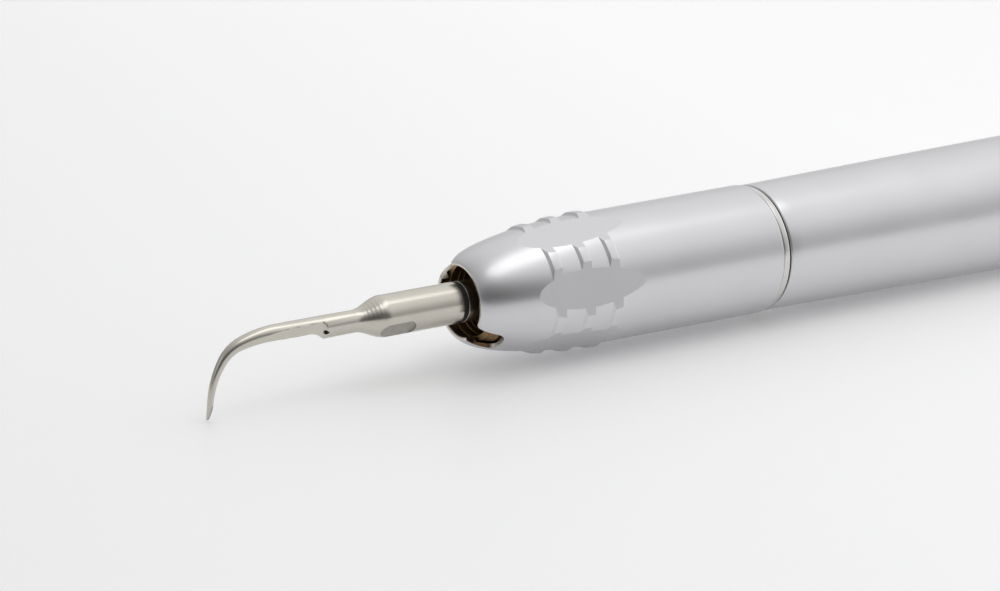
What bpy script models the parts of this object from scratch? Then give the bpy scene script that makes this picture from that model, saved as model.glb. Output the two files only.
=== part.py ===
"""Air-driven dental scaler handpiece, modelled as the separate pieces it comes apart into.

The handpiece lies along X with its tip at -X and its hose end at +X, and +Z is up.  Lengths in this
file are millimetres.  A station is the distance in millimetres behind the plane of the nose rim,
measured along the axis, so the tip has negative stations.  Angles round the axis start at +Y and
turn towards +Z, which is a right-handed turn about +X.
"""

import math

import bmesh
import bpy
from mathutils import Matrix, Vector

MM = 0.001  # metres in a millimetre

# ---------------------------------------------------------------- driving dimensions
REAR_RADIUS = 8.0          # widest part of the grip
SLEEVE_RADIUS = 7.4        # rear end of the front sleeve
JOINT_STATION = 38.8       # where the front sleeve ends
JOINT_RING_LENGTH = 0.9
JOINT_RING_RADIUS = 7.22
BODY_LENGTH = 131.0        # rim to hose end
TIP_REACH = 31.0           # rim to the foremost point of the tip

SEAM = 0.15                # gap in a visible seam
FIT = 0.3                  # gap between two pieces that touch on the real object
ROUND_SIDES = 24           # facets round the body
SMALL_SIDES = 16           # facets round the small turned pieces

# nose and front sleeve
RIM_RADIUS = 4.2
RIM_BORE = 3.9
NOSE_LENGTH = 17.0
NOSE_RADIUS = 7.26         # where the nose curve ends and the sleeve's slight taper starts
NOSE_DROP = 2.3            # how far the nose curve falls from there to the rim
NOSE_POWER = 2.2
LIP_DROP = 0.66            # further fall close behind the rim
LIP_LENGTH = 1.1
SLEEVE_BORE = 6.5
RIB_STATIONS = (7.7, 11.4, 15.05)
RIB_WIDTH = 1.25
RIB_SLOPE = 0.4
RIB_HEIGHT = 0.26
FLAT_COUNT = 6
FLAT_TURN = math.radians(49.0)
FLAT_FRONT = (6.4, 6.45)   # station and distance from the axis where a grip flat starts
FLAT_REAR = (20.6, 7.28)   # and where it runs out
NOTCH_TURN = math.radians(47.0)
NOTCH_WIDTH = 3.0
NOTCH_DEPTH = 2.9

# vibrating unit
SHAFT_RADIUS = 2.2
SHAFT_SEAT_RADIUS = 2.5
SHAFT_FRONT = -0.1
SHAFT_REAR = 58.0
SHAFT_BORE = 1.5
WATER_BORE = 0.9
THREAD_SOCKET = 1.5
SOCKET_DEPTH = 5.7
FRONT_DAMPER = 7.5         # stations of the two damper rings
REAR_DAMPER = 50.0
DAMPER_RING_RADIUS = 3.15
DAMPER_CORD_RADIUS = 0.75
ROTOR_FRONT = 24.0
ROTOR_LENGTH = 14.0
ROTOR_RADIUS = 4.1
STOP_RING_LENGTH = 2.0
STOP_RING_RADIUS = 3.6
AIR_HOLE_RADIUS = 0.45
BARREL_RADIUS = 6.15
BARREL_BORE = 5.2
BARREL_FRONT = 12.3
BARREL_REAR = 62.0

# tip
SHANK_RADIUS = 2.27
SHANK_REAR = -0.7
SHANK_FRONT = -9.6
SHOULDER = ((-10.6, 2.1), (-12.3, 1.47))
NECK_RADIUS = 1.21
NECK_REAR = -13.2
NECK_FRONT = -17.15        # step where the blade starts
SPIGOT_RADIUS = 1.25
SPIGOT_REAR = 5.0
BLADE_WIDTH = 1.76
BLADE_DEPTH = 1.53
BLADE_TOP = 1.24
BLADE_STRAIGHT = 5.56      # from the step to the start of the bend
BLADE_BENDS = ((13.0, 20.0, 4), (4.5, 40.0, 7), (10.0, 25.0, 4))    # radius, degrees, steps
POINT_LENGTH = 2.1         # straight end of the blade
POINT_DEPTH = 0.5
TAPER_START = 5.0          # distance from the step where the blade starts to thin
TAPER_POWER = 1.3
RUN_OUT = 1.9              # length of the milled run-out in front of the step
TIP_SIDES = 20
TIP_BORE = 0.35
TIP_BORE_DROP = 0.4
WRENCH_FLAT = 1.98
WRENCH_FLAT_STATIONS = (-11.6, -6.7)
WRENCH_FLAT_TURN = math.radians(216.0)

# power ring and valve
HOUSING_WAIST = 40.0       # station where the housing is thinnest
HOUSING_FULL = 88.0        # and where it reaches its full radius
WAIST_DROP = 0.75
WAIST_POWER = 1.25
HOUSING_REAR = 108.0
SPIGOT_END = 117.0         # rear end of the housing's spigot
SPIGOT_OUTER = 6.7
SPIGOT_BORE = 6.0
RING_REAR = 116.0
RING_RADIUS = 7.9
RING_BORE = 7.0
RING_TRAVEL = math.radians(60.0)
PIN_STATION = 112.0
PIN_RADIUS = 0.5
PIN_TURN = math.radians(-90.0)
VALVE_CORE_RADIUS = 4.5
VALVE_SLEEVE_BORE = 4.8
VALVE_SLEEVE_RADIUS = 5.5
DETENT_RADIUS = 7.05       # distance of the detent ball from the axis
DETENT_TURN = math.radians(60.0)
BALL_RADIUS = 0.5

# hose connector
TAIL_FRONT = RING_REAR + SEAM * 2
TAIL_REAR = 123.0
TAIL_RADIUS = 7.8
FLANGE_FRONT = 119.1
FLANGE_REAR = 121.5
FLANGE_RADIUS = 6.3
CONNECTOR_RADIUS = 4.75
LIP_BORE = 5.05
# passages in the connector: name, distance from the axis, turn, radius
PASSAGES = (
    ("exhaust", 2.4, math.radians(0.0), 1.3),
    ("drive", 2.4, math.radians(180.0), 0.9),
    ("water", 2.6, math.radians(-90.0), 0.85),
    ("chip_air", 2.6, math.radians(90.0), 0.7),
)
WATER_TUBE_RADIUS = 0.55
WATER_TUBE_BORE = 0.3
AIR_TUBE_RADIUS = 1.1
AIR_TUBE_BORE = 0.75

PIVOT = 0.5 * (FRONT_DAMPER + REAR_DAMPER)
AXIS_HEIGHT = REAR_RADIUS * math.cos(math.pi / ROUND_SIDES)
RIM_X = TIP_REACH - 0.5 * (TIP_REACH + BODY_LENGTH)


# ---------------------------------------------------------------- helpers
def clear_scene():
    for obj in list(bpy.data.objects):
        bpy.data.objects.remove(obj, do_unlink=True)


def material(name, color, metallic, roughness):
    mat = bpy.data.materials.new(name)
    mat.use_nodes = True
    shader = mat.node_tree.nodes["Principled BSDF"]
    shader.inputs["Base Color"].default_value = (*color, 1.0)
    shader.inputs["Metallic"].default_value = metallic
    shader.inputs["Roughness"].default_value = roughness
    return mat


def axis_empty(name, station, parent=None, parent_station=0.0):
    """An empty on the handpiece's axis, which carries the pieces that share a motion."""
    empty = bpy.data.objects.new(name, None)
    bpy.context.scene.collection.objects.link(empty)
    if parent is None:
        empty.location = (RIM_X * MM, 0.0, AXIS_HEIGHT * MM)
    else:
        empty.parent = parent
        empty.location = ((station - parent_station) * MM, 0.0, 0.0)
    empty["station"] = station
    return empty


def place(name, bm, mat, parent, station):
    """Turn a bmesh in millimetres, drawn at its true stations, into an object on the axis."""
    bmesh.ops.remove_doubles(bm, verts=bm.verts, dist=1e-5)
    bmesh.ops.recalc_face_normals(bm, faces=bm.faces)
    bmesh.ops.transform(bm, matrix=Matrix.Scale(MM, 4) @ Matrix.Translation((-station, 0, 0)), verts=bm.verts)
    mesh = bpy.data.meshes.new(name)
    bm.to_mesh(mesh)
    bm.free()
    mesh.shade_smooth()
    mesh.set_sharp_from_angle(angle=math.radians(35))
    if mat is not None:
        mesh.materials.append(mat)
    obj = bpy.data.objects.new(name, mesh)
    bpy.context.scene.collection.objects.link(obj)
    obj.parent = parent
    obj.location = ((station - parent["station"]) * MM, 0.0, 0.0)
    return obj


def around(turn, radius):
    """Y and Z of a point at this turn and distance from the axis."""
    return Vector((0.0, radius * math.cos(turn), radius * math.sin(turn)))


def spun(profile, sides, first_turn=None, sweep=math.tau):
    """A closed outline of (station, radius) points spun about the axis with bmesh's spin."""
    bm = bmesh.new()
    start = math.pi / 2 + math.pi / sides if first_turn is None else first_turn
    verts = [bm.verts.new(Vector((station, 0, 0)) + around(start, radius)) for station, radius in profile]
    edges = [bm.edges.new((a, b)) for a, b in zip(verts, verts[1:] + verts[:1])]
    whole = sweep >= math.tau
    if not whole:
        bm.faces.new(verts)
    bmesh.ops.spin(
        bm,
        geom=verts + edges + list(bm.faces),
        cent=(0, 0, 0),
        axis=(1, 0, 0),
        angle=sweep,
        steps=sides,
        use_merge=whole,
    )
    return bm


def turned(name, profile, sides, mat, parent):
    """A piece turned on a lathe, from its closed outline."""
    station = min(point[0] for point in profile)
    return place(name, spun(profile, sides), mat, parent, station)


def tube_profile(front, rear, outer, bore, chamfer=0.0):
    if chamfer == 0.0:
        return [(front, bore), (front, outer), (rear, outer), (rear, bore)]
    return [
        (front, bore),
        (front, outer - chamfer),
        (front + chamfer, outer),
        (rear - chamfer, outer),
        (rear, outer - chamfer),
        (rear, bore),
    ]


def cord_profile(station, radius, cord_radius, points=8):
    """The round section of an O-ring."""
    angles = [math.tau * i / points for i in range(points)]
    return [(station + cord_radius * math.cos(a), radius + cord_radius * math.sin(a)) for a in angles]


def o_ring(name, station, radius, cord_radius, mat, parent):
    return turned(name, cord_profile(station, radius, cord_radius), SMALL_SIDES, mat, parent)


def cutter(name, bm, parent, station):
    obj = place(name, bm, None, parent, station)
    obj.hide_render = True
    obj.display_type = "WIRE"
    return obj


def cut(piece, tool):
    mod = piece.modifiers.new(tool.name, "BOOLEAN")
    mod.operation = "DIFFERENCE"
    mod.solver = "EXACT"
    mod.object = tool


def rod(radius, start, end, sides=12):
    """A straight round bar between two points."""
    bm = bmesh.new()
    start = Vector(start)
    span = Vector(end) - start
    turn = span.to_track_quat("Z", "Y").to_matrix().to_4x4()
    middle = Matrix.Translation(start + span / 2) @ turn
    bmesh.ops.create_cone(
        bm, cap_ends=True, segments=sides, radius1=radius, radius2=radius, depth=span.length, matrix=middle
    )
    return bm


def along(station, distance=0.0, turn=0.0):
    return Vector((station, 0, 0)) + around(turn, distance)


def block(size, matrix):
    bm = bmesh.new()
    bmesh.ops.create_cube(bm, size=1.0, matrix=matrix @ Matrix.Diagonal((*size, 1.0)))
    return bm


def sector(front, rear, inner, outer, first_turn, sweep, steps=12):
    """Part of a thick ring, for cutting a slot that runs round the axis."""
    profile = [(front, inner), (front, outer), (rear, outer), (rear, inner)]
    return spun(profile, steps, first_turn, sweep)


def swept_tube(points, outer, bore, sides):
    """A tube of round section along a smooth path in one plane that holds the axis."""
    bm = bmesh.new()
    rings = []
    for radius in (outer, bore):
        for i, point in enumerate(points):
            before = points[max(i - 1, 0)]
            after = points[min(i + 1, len(points) - 1)]
            turn = (after - before).to_track_quat("X", "Z").to_matrix()
            corners = [turn @ around(math.tau * k / sides, radius) for k in range(sides)]
            rings.append([bm.verts.new(point + corner) for corner in corners])
    count = len(points)
    pairs = [(i, i + 1) for i in range(count - 1)]
    pairs += [(count + i, count + i + 1) for i in range(count - 1)]
    pairs += [(0, count), (count - 1, 2 * count - 1)]
    for a, b in pairs:
        for k in range(sides):
            n = (k + 1) % sides
            bm.faces.new((rings[a][k], rings[a][n], rings[b][n], rings[b][k]))
    return bm


# ---------------------------------------------------------------- grip
def nose_radius(station):
    """Outer radius of the front sleeve, without its ribs."""
    left = max(0.0, 1.0 - station / NOSE_LENGTH)
    passed = max(0.0, station - NOSE_LENGTH) / (JOINT_STATION - NOSE_LENGTH)
    radius = NOSE_RADIUS + (SLEEVE_RADIUS - NOSE_RADIUS) * passed
    return radius - NOSE_DROP * left**NOSE_POWER - LIP_DROP * math.exp(-station / LIP_LENGTH)


def front_sleeve(mat, parent):
    outside = [(0.0, RIM_RADIUS)]
    for station in (0.12, 0.5, 1.1, 2.0, 3.2, 5.0):
        outside.append((station, nose_radius(station)))
    for front in RIB_STATIONS:
        rear = front + RIB_WIDTH
        outside.append((front, nose_radius(front)))
        outside.append((front + RIB_SLOPE, nose_radius(front) + RIB_HEIGHT))
        outside.append((rear, nose_radius(rear) + RIB_HEIGHT))
        outside.append((rear + 0.05, nose_radius(rear)))
    outside += [(20.0, nose_radius(20.0)), (JOINT_STATION - 0.2, SLEEVE_RADIUS)]
    outside.append((JOINT_STATION, SLEEVE_RADIUS - 0.15))
    inside = [(JOINT_STATION, SLEEVE_BORE), (12.0, SLEEVE_BORE), (8.0, 6.08), (4.0, 5.3), (1.0, 4.4)]
    inside += [(1.0, RIM_BORE), (0.0, RIM_BORE)]
    sleeve = turned("front_sleeve", outside + inside, ROUND_SIDES, mat, parent)

    slope = math.atan2(FLAT_REAR[1] - FLAT_FRONT[1], FLAT_REAR[0] - FLAT_FRONT[0])
    thickness = 3.0
    for i in range(FLAT_COUNT):
        turn = FLAT_TURN + i * math.tau / FLAT_COUNT
        middle = (FLAT_FRONT[0] + FLAT_REAR[0]) / 2
        distance = (FLAT_FRONT[1] + FLAT_REAR[1]) / 2
        tilt = Matrix.Rotation(turn - math.pi / 2, 4, "X")
        tilt = tilt @ Matrix.Translation((middle, 0, distance)) @ Matrix.Rotation(-slope, 4, "Y")
        tilt = tilt @ Matrix.Translation((0, 0, thickness / 2))
        cut(sleeve, cutter(f"grip_flat_cut_{i + 1}", block((30.0, 12.0, thickness), tilt), parent, middle))
    for i in range(2):
        turn = Matrix.Rotation(NOTCH_TURN + i * math.pi - math.pi / 2, 4, "X")
        shape = turn @ Matrix.Translation((NOTCH_DEPTH / 2 - 1.0, 0, 5.4))
        slot = block((NOTCH_DEPTH + 2.0, NOTCH_WIDTH, 4.4), shape)
        cut(sleeve, cutter(f"key_notch_cut_{i + 1}", slot, parent, 0.0))
    return sleeve


def nose_bush(mat, parent):
    """Brass bush behind the rim, which holds the front damper ring."""
    outside = [(1.3, RIM_BORE + 0.1), (1.3, 4.15), (4.0, 4.98), (8.0, 5.78), (12.0, 6.1)]
    outside += [(12.0, BARREL_BORE - FIT), (16.0, BARREL_BORE - FIT)]
    inside = [(16.0, 4.5), (FRONT_DAMPER + 1.0, 4.5), (FRONT_DAMPER + 1.0, 4.1), (FRONT_DAMPER - 1.0, 4.1)]
    inside += [(FRONT_DAMPER - 1.0, 3.2), (5.2, 3.2), (5.0, RIM_BORE)]
    return turned("nose_bush", outside + inside, ROUND_SIDES, mat, parent)


def damper_nut(mat, parent):
    nut = turned("damper_nut", tube_profile(8.8, 11.4, 4.2, 2.9, 0.2), ROUND_SIDES, mat, parent)
    slot = block((1.2, 10.0, 1.0), Matrix.Translation((11.3, 0, 0)))
    cut(nut, cutter("damper_nut_slot_cut", slot, parent, 11.3))
    return nut


def inner_barrel(mat, parent):
    """Tube that carries the vibrating unit; its outside seals against the front sleeve."""
    groove = 34.0
    profile = [(BARREL_FRONT, BARREL_BORE), (BARREL_FRONT, BARREL_RADIUS), (groove, BARREL_RADIUS)]
    profile += [(groove, 5.65), (groove + 1.0, 5.65), (groove + 1.0, BARREL_RADIUS)]
    profile += [(BARREL_REAR, BARREL_RADIUS), (BARREL_REAR, BARREL_BORE)]
    barrel = turned("inner_barrel", profile, ROUND_SIDES, mat, parent)
    for i in range(3):
        turn = math.radians(90 + 120 * i)
        hole = rod(1.0, along(43.0, 4.0, turn), along(43.0, 7.0, turn))
        cut(barrel, cutter(f"exhaust_hole_cut_{i + 1}", hole, parent, 43.0))
    return barrel


def joint_ring(mat, parent):
    front = JOINT_STATION + SEAM
    rear = front + JOINT_RING_LENGTH
    profile = [(front, SLEEVE_BORE), (front, JOINT_RING_RADIUS - 0.15), (front + 0.15, JOINT_RING_RADIUS)]
    profile += [(rear - 0.15, JOINT_RING_RADIUS), (rear, JOINT_RING_RADIUS - 0.15), (rear, SLEEVE_BORE)]
    return turned("joint_ring", profile, ROUND_SIDES, mat, parent)


def housing_radius(station):
    """Outer radius of the rear housing, which swells from the joint to its full radius."""
    left = max(0.0, (HOUSING_FULL - station) / (HOUSING_FULL - HOUSING_WAIST))
    return REAR_RADIUS - WAIST_DROP * left**WAIST_POWER


def rear_housing(mat, parent):
    front = JOINT_STATION + 2 * SEAM + JOINT_RING_LENGTH
    outside = [(front, SLEEVE_BORE), (front, housing_radius(front) - 0.2)]
    for station in (front + 0.2, 48.0, 56.0, 64.0, 72.0, 80.0, HOUSING_FULL):
        outside.append((station, housing_radius(station)))
    outside += [(HOUSING_REAR - 0.2, REAR_RADIUS), (HOUSING_REAR, REAR_RADIUS - 0.2)]
    outside += [(HOUSING_REAR, SPIGOT_OUTER), (SPIGOT_END, SPIGOT_OUTER)]
    inside = [(SPIGOT_END, SPIGOT_BORE), (104.0, SPIGOT_BORE), (104.0, 6.9), (66.0, 6.9), (64.0, SLEEVE_BORE)]
    housing = turned("rear_housing", outside + inside, ROUND_SIDES, mat, parent)

    clearance = math.radians(9.0)
    slot = sector(
        PIN_STATION - 0.9, PIN_STATION + 0.9, 5.6, 7.2, PIN_TURN - clearance, RING_TRAVEL + 2 * clearance
    )
    cut(housing, cutter("pin_slot_cut", slot, parent, PIN_STATION))
    hole_end = along(109.0, DETENT_RADIUS, DETENT_TURN)
    hole = rod(BALL_RADIUS + 0.1, along(104.7, DETENT_RADIUS, DETENT_TURN), hole_end)
    cut(housing, cutter("detent_hole_cut", hole, parent, HOUSING_REAR))
    return housing


# ---------------------------------------------------------------- vibrating unit
def vibrator_shaft(mat, parent):
    seat_front = ROTOR_FRONT - STOP_RING_LENGTH - 1.0
    seat_rear = ROTOR_FRONT + ROTOR_LENGTH + STOP_RING_LENGTH + 1.0
    socket_end = SHAFT_FRONT + SOCKET_DEPTH
    profile = [(SHAFT_FRONT, THREAD_SOCKET), (SHAFT_FRONT, SHAFT_RADIUS - 0.15)]
    profile.append((SHAFT_FRONT + 0.15, SHAFT_RADIUS))
    profile += [(seat_front, SHAFT_RADIUS), (seat_front + 0.3, SHAFT_SEAT_RADIUS)]
    profile += [(seat_rear, SHAFT_SEAT_RADIUS), (seat_rear + 0.3, SHAFT_RADIUS)]
    profile += [(SHAFT_REAR, SHAFT_RADIUS), (SHAFT_REAR, SHAFT_BORE), (17.5, SHAFT_BORE), (17.0, WATER_BORE)]
    profile += [(socket_end, WATER_BORE), (socket_end - 0.4, THREAD_SOCKET)]
    shaft = turned("vibrator_shaft", profile, SMALL_SIDES, mat, parent)
    station = ROTOR_FRONT + ROTOR_LENGTH / 2
    for i in range(3):
        turn = math.radians(90 + 120 * i)
        hole = rod(AIR_HOLE_RADIUS, along(station, 1.0, turn), along(station, 3.2, turn), 8)
        cut(shaft, cutter(f"air_hole_cut_{i + 1}", hole, parent, station))
    return shaft


def rotor_pieces(steel, parent, rotor_parent):
    bore = SHAFT_SEAT_RADIUS + 0.25
    rear = ROTOR_FRONT + ROTOR_LENGTH
    ring = tube_profile(ROTOR_FRONT, rear, ROTOR_RADIUS, bore, 0.2)
    turned("rotor_ring", ring, ROUND_SIDES, steel, rotor_parent)
    stop_bore = SHAFT_SEAT_RADIUS + 0.1
    for name, front in (
        ("front_stop_ring", ROTOR_FRONT - FIT - STOP_RING_LENGTH),
        ("rear_stop_ring", rear + FIT),
    ):
        profile = tube_profile(front, front + STOP_RING_LENGTH, STOP_RING_RADIUS, stop_bore, 0.15)
        turned(name, profile, SMALL_SIDES, steel, parent)


def rear_bush(mat, parent):
    outside = [(46.0, 3.2), (46.0, BARREL_BORE - FIT), (57.0, BARREL_BORE - FIT)]
    inside = [(57.0, 4.5), (REAR_DAMPER + 1.0, 4.5), (REAR_DAMPER + 1.0, 4.1), (REAR_DAMPER - 1.0, 4.1)]
    inside += [(REAR_DAMPER - 1.0, 3.2)]
    return turned("rear_bush", outside + inside, ROUND_SIDES, mat, parent)


def rear_damper_nut(mat, parent):
    return turned("rear_damper_nut", tube_profile(51.4, 54.0, 4.2, 2.9, 0.2), ROUND_SIDES, mat, parent)


# ---------------------------------------------------------------- tip
def run(point, heading, length, steps, bend=0.0):
    """Points and headings along an arc; heading 0 points forward (-X) and grows as it turns down."""
    out = []
    for i in range(1, steps + 1):
        share = i / steps
        if bend == 0.0:
            step = Vector((-math.cos(heading), 0, -math.sin(heading))) * length * share
            out.append((point + step, heading))
        else:
            radius = length / bend
            now = heading + bend * share
            dx = radius * (math.sin(now) - math.sin(heading))
            dz = radius * (math.cos(heading) - math.cos(now))
            out.append((point + Vector((-dx, 0, -dz)), now))
    return out


def blade_guide():
    """Top edge of the blade, from the step behind it round the bend to the point."""
    guide = [(Vector((NECK_FRONT, 0, NECK_RADIUS)), 0.0)]
    guide += run(Vector((NECK_FRONT, 0, BLADE_TOP)), 0.0, BLADE_STRAIGHT, 4)
    for radius, degrees, steps in BLADE_BENDS:
        bend = math.radians(degrees)
        guide += run(guide[-1][0], guide[-1][1], radius * bend, steps, bend)
    guide += run(guide[-1][0], guide[-1][1], POINT_LENGTH, 2)
    return guide


def blade_sections():
    """Centre, heading, depth, width and squareness of the blade's sections."""
    guide = blade_guide()
    travelled = [0.0]
    for (a, _), (b, _) in zip(guide, guide[1:]):
        travelled.append(travelled[-1] + (b - a).length)
    out = []
    for (point, heading), distance in zip(guide, travelled):
        if distance < RUN_OUT:
            share = distance / RUN_OUT
            depth = 2 * NECK_RADIUS + (BLADE_DEPTH - 2 * NECK_RADIUS) * math.sin(share * math.pi / 2)
            width = 2 * NECK_RADIUS + (BLADE_WIDTH - 2 * NECK_RADIUS) * share
        else:
            share = max(0.0, distance - TAPER_START) / (travelled[-1] - TAPER_START)
            depth = BLADE_DEPTH - (BLADE_DEPTH - POINT_DEPTH) * share**TAPER_POWER
            width = min(BLADE_WIDTH, 1.15 * depth)
        down = Vector((math.sin(heading), 0, -math.cos(heading)))
        out.append((point + down * depth / 2, heading, depth, width, square_share(distance)))
    return out


def square_share(distance):
    """How square the blade is: milled flat in front of the step, round again from the bend to the point."""
    return min(1.0, distance / RUN_OUT, max(0.0, 1.0 - (distance - TAPER_START) / TAPER_START))


def section_ring(bm, centre, heading, depth, width, square):
    """A section with a round top and, as square goes from 0 to 1, a flatter bottom and sides."""
    up = Vector((-math.sin(heading), 0, math.cos(heading)))
    ring = []
    for k in range(TIP_SIDES):
        angle = math.tau * (k + 0.5) / TIP_SIDES
        across = math.cos(angle)
        height = math.sin(angle)
        power = 1.0 - 0.55 * square if height < 0 else 1.0 - 0.25 * square
        across = math.copysign(abs(across) ** power, across)
        if height < 0:
            height = -(abs(height) ** power)
        ring.append(bm.verts.new(centre + Vector((0, across * width / 2, 0)) + up * height * depth / 2))
    return ring


def scaler_tip(mat, parent):
    """Threaded spigot, shank, shoulder, neck and hooked blade in one piece, with a water passage."""
    stations = [(SPIGOT_REAR, SPIGOT_RADIUS - 0.2), (SPIGOT_REAR - 0.3, SPIGOT_RADIUS)]
    stations += [(SHANK_REAR, SPIGOT_RADIUS), (SHANK_REAR, SHANK_RADIUS - 0.2)]
    stations.append((SHANK_REAR - 0.2, SHANK_RADIUS))
    stations += [(SHANK_FRONT, SHANK_RADIUS), *SHOULDER, (NECK_REAR, NECK_RADIUS)]
    bm = bmesh.new()
    rings = []
    for station, radius in stations:
        rings.append(section_ring(bm, Vector((station, 0, 0)), 0.0, 2 * radius, 2 * radius, 0.0))
    rings += [section_ring(bm, *section) for section in blade_sections()]
    for a, b in zip(rings, rings[1:]):
        for k in range(TIP_SIDES):
            n = (k + 1) % TIP_SIDES
            bm.faces.new((a[k], a[n], b[n], b[k]))
    bm.faces.new(rings[0])
    bm.faces.new(rings[-1])
    tip = place("scaler_tip", bm, mat, parent, SHANK_REAR)

    passage = rod(TIP_BORE, (SPIGOT_REAR + 1.0, 0, 0), (NECK_FRONT - 1.2, 0, -TIP_BORE_DROP), 10)
    cut(tip, cutter("water_passage_cut", passage, parent, 0.0))
    front, rear = WRENCH_FLAT_STATIONS
    for i in range(2):
        turn = Matrix.Rotation(WRENCH_FLAT_TURN + i * math.pi - math.pi / 2, 4, "X")
        shape = turn @ Matrix.Translation(((front + rear) / 2, 0, WRENCH_FLAT + 1.0))
        tool = cutter(f"wrench_flat_cut_{i + 1}", block((rear - front, 6.0, 2.0), shape), parent, rear)
        cut(tip, tool)
    return tip


def tip_seal_ring(mat, parent):
    profile = tube_profile(SHANK_REAR + SEAM, SHAFT_FRONT - SEAM, 1.95, SPIGOT_RADIUS + 0.15)
    return turned("tip_seal_ring", profile, SMALL_SIDES, mat, parent)


# ---------------------------------------------------------------- air and water inside
def passage_named(name):
    return next(item for item in PASSAGES if item[0] == name)


def eased_path(front, rear, bend_front, bend_rear, start, end, steps=10):
    """Straight along the axis direction, then an eased sideways shift between two stations."""
    points = [Vector((front, 0, 0)) + start]
    for i in range(steps + 1):
        share = i / steps
        ease = share * share * (3.0 - 2.0 * share)
        points.append(Vector((bend_front + (bend_rear - bend_front) * share, 0, 0)) + start.lerp(end, ease))
    points.append(Vector((rear, 0, 0)) + end)
    return points


def water_tube(mat, parent):
    _, distance, turn, _ = passage_named("water")
    points = eased_path(20.0, 124.0, 74.0, 92.0, Vector((0, 0, 0)), around(turn, distance))
    return place("water_tube", swept_tube(points, WATER_TUBE_RADIUS, WATER_TUBE_BORE, 8), mat, parent, 20.0)


def air_tube(mat, parent):
    _, distance, turn, _ = passage_named("drive")
    points = [along(66.0, distance, turn), along(101.0, distance, turn)]
    return place("air_tube", swept_tube(points, AIR_TUBE_RADIUS, AIR_TUBE_BORE, 12), mat, parent, 66.0)


def tube_plate(mat, parent):
    """Disc behind the barrel that carries the front ends of the tubes."""
    plate = turned("tube_plate", tube_profile(67.5, 70.0, 6.6, 0.9, 0.2), ROUND_SIDES, mat, parent)
    _, distance, turn, _ = passage_named("drive")
    drive = rod(AIR_TUBE_RADIUS + 0.25, along(60.0, distance, turn), along(80.0, distance, turn))
    cut(plate, cutter("plate_drive_cut", drive, parent, 70.0))
    for i in range(3):
        turn = math.radians(-60 + 60 * i)
        hole = rod(1.1, along(60.0, 4.4, turn), along(80.0, 4.4, turn))
        cut(plate, cutter(f"plate_exhaust_cut_{i + 1}", hole, parent, 70.0))
    return plate


def valve_core(mat, parent):
    """Fixed centre of the valve, with the passages to the tubes and a port in its side."""
    profile = [(98.0, 0.35), (98.0, 6.5), (99.9, 6.5), (99.9, 5.85)]
    profile += [(100.9, 5.85), (100.9, 6.5), (102.5, 6.5)]
    profile += [(102.5, VALVE_CORE_RADIUS), (118.0, VALVE_CORE_RADIUS), (118.0, 0.35)]
    core = turned("valve_core", profile, ROUND_SIDES, mat, parent)
    for name, distance, turn, radius in PASSAGES:
        radius = max(radius, AIR_TUBE_RADIUS + 0.25) if name == "drive" else radius
        hole = rod(radius, along(97.0, distance, turn), along(119.0, distance, turn))
        cut(core, cutter(f"core_{name}_cut", hole, parent, 98.0))
    port = rod(0.8, along(108.5, 2.6, math.pi), along(108.5, 5.2, math.pi))
    cut(core, cutter("core_port_cut", port, parent, 108.5))
    return core


def valve_sleeve(mat, parent):
    """Turns with the power ring and covers more or less of the port."""
    profile = tube_profile(103.0, 117.4, VALVE_SLEEVE_RADIUS, VALVE_SLEEVE_BORE)
    sleeve = turned("valve_sleeve", profile, ROUND_SIDES, mat, parent)
    window = sector(107.6, 109.4, 4.3, 6.2, math.radians(112), math.radians(74))
    cut(sleeve, cutter("valve_window_cut", window, parent, 108.5))
    hole = rod(PIN_RADIUS + 0.2, along(PIN_STATION, 4.2, PIN_TURN), along(PIN_STATION, 6.2, PIN_TURN))
    cut(sleeve, cutter("valve_pin_cut", hole, parent, PIN_STATION))
    return sleeve


def power_ring(mat, parent):
    """The ring a user turns, with finger grooves outside and a detent track on its front face."""
    front = HOUSING_REAR + 2 * SEAM
    groove_depth = 0.3
    outside = [(front, RING_BORE), (front, RING_RADIUS - 0.2), (front + 0.2, RING_RADIUS)]
    for middle in (110.4, 112.15, 113.9):
        outside += [(middle - 0.5, RING_RADIUS), (middle - 0.25, RING_RADIUS - groove_depth)]
        outside += [(middle + 0.25, RING_RADIUS - groove_depth), (middle + 0.5, RING_RADIUS)]
    outside += [(RING_REAR - 0.2, RING_RADIUS), (RING_REAR, RING_RADIUS - 0.2), (RING_REAR, RING_BORE)]
    inside = [(115.0, RING_BORE), (115.0, 7.25), (114.4, 7.25), (114.4, RING_BORE)]
    ring = turned("power_ring", outside + inside, ROUND_SIDES, mat, parent)
    hole = rod(PIN_RADIUS + 0.15, along(PIN_STATION, 6.0, PIN_TURN), along(PIN_STATION, 7.45, PIN_TURN))
    cut(ring, cutter("ring_pin_cut", hole, parent, PIN_STATION))
    track = sector(
        front - 0.3, front + 0.2, DETENT_RADIUS - 0.35, DETENT_RADIUS + 0.35,
        DETENT_TURN - RING_TRAVEL - 0.08, RING_TRAVEL + 0.16,
    )
    cut(ring, cutter("detent_track_cut", track, parent, front))
    for i in range(3):
        turn = DETENT_TURN - i * RING_TRAVEL / 2
        pocket = rod(0.45, along(front - 0.3, DETENT_RADIUS, turn), along(front + 0.4, DETENT_RADIUS, turn))
        cut(ring, cutter(f"detent_pocket_cut_{i + 1}", pocket, parent, front))
    return ring


def coupling_pin(mat, parent):
    pin = rod(PIN_RADIUS, along(PIN_STATION, 5.0, PIN_TURN), along(PIN_STATION, 7.25, PIN_TURN), 10)
    return place("coupling_pin", pin, mat, parent, PIN_STATION)


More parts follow.
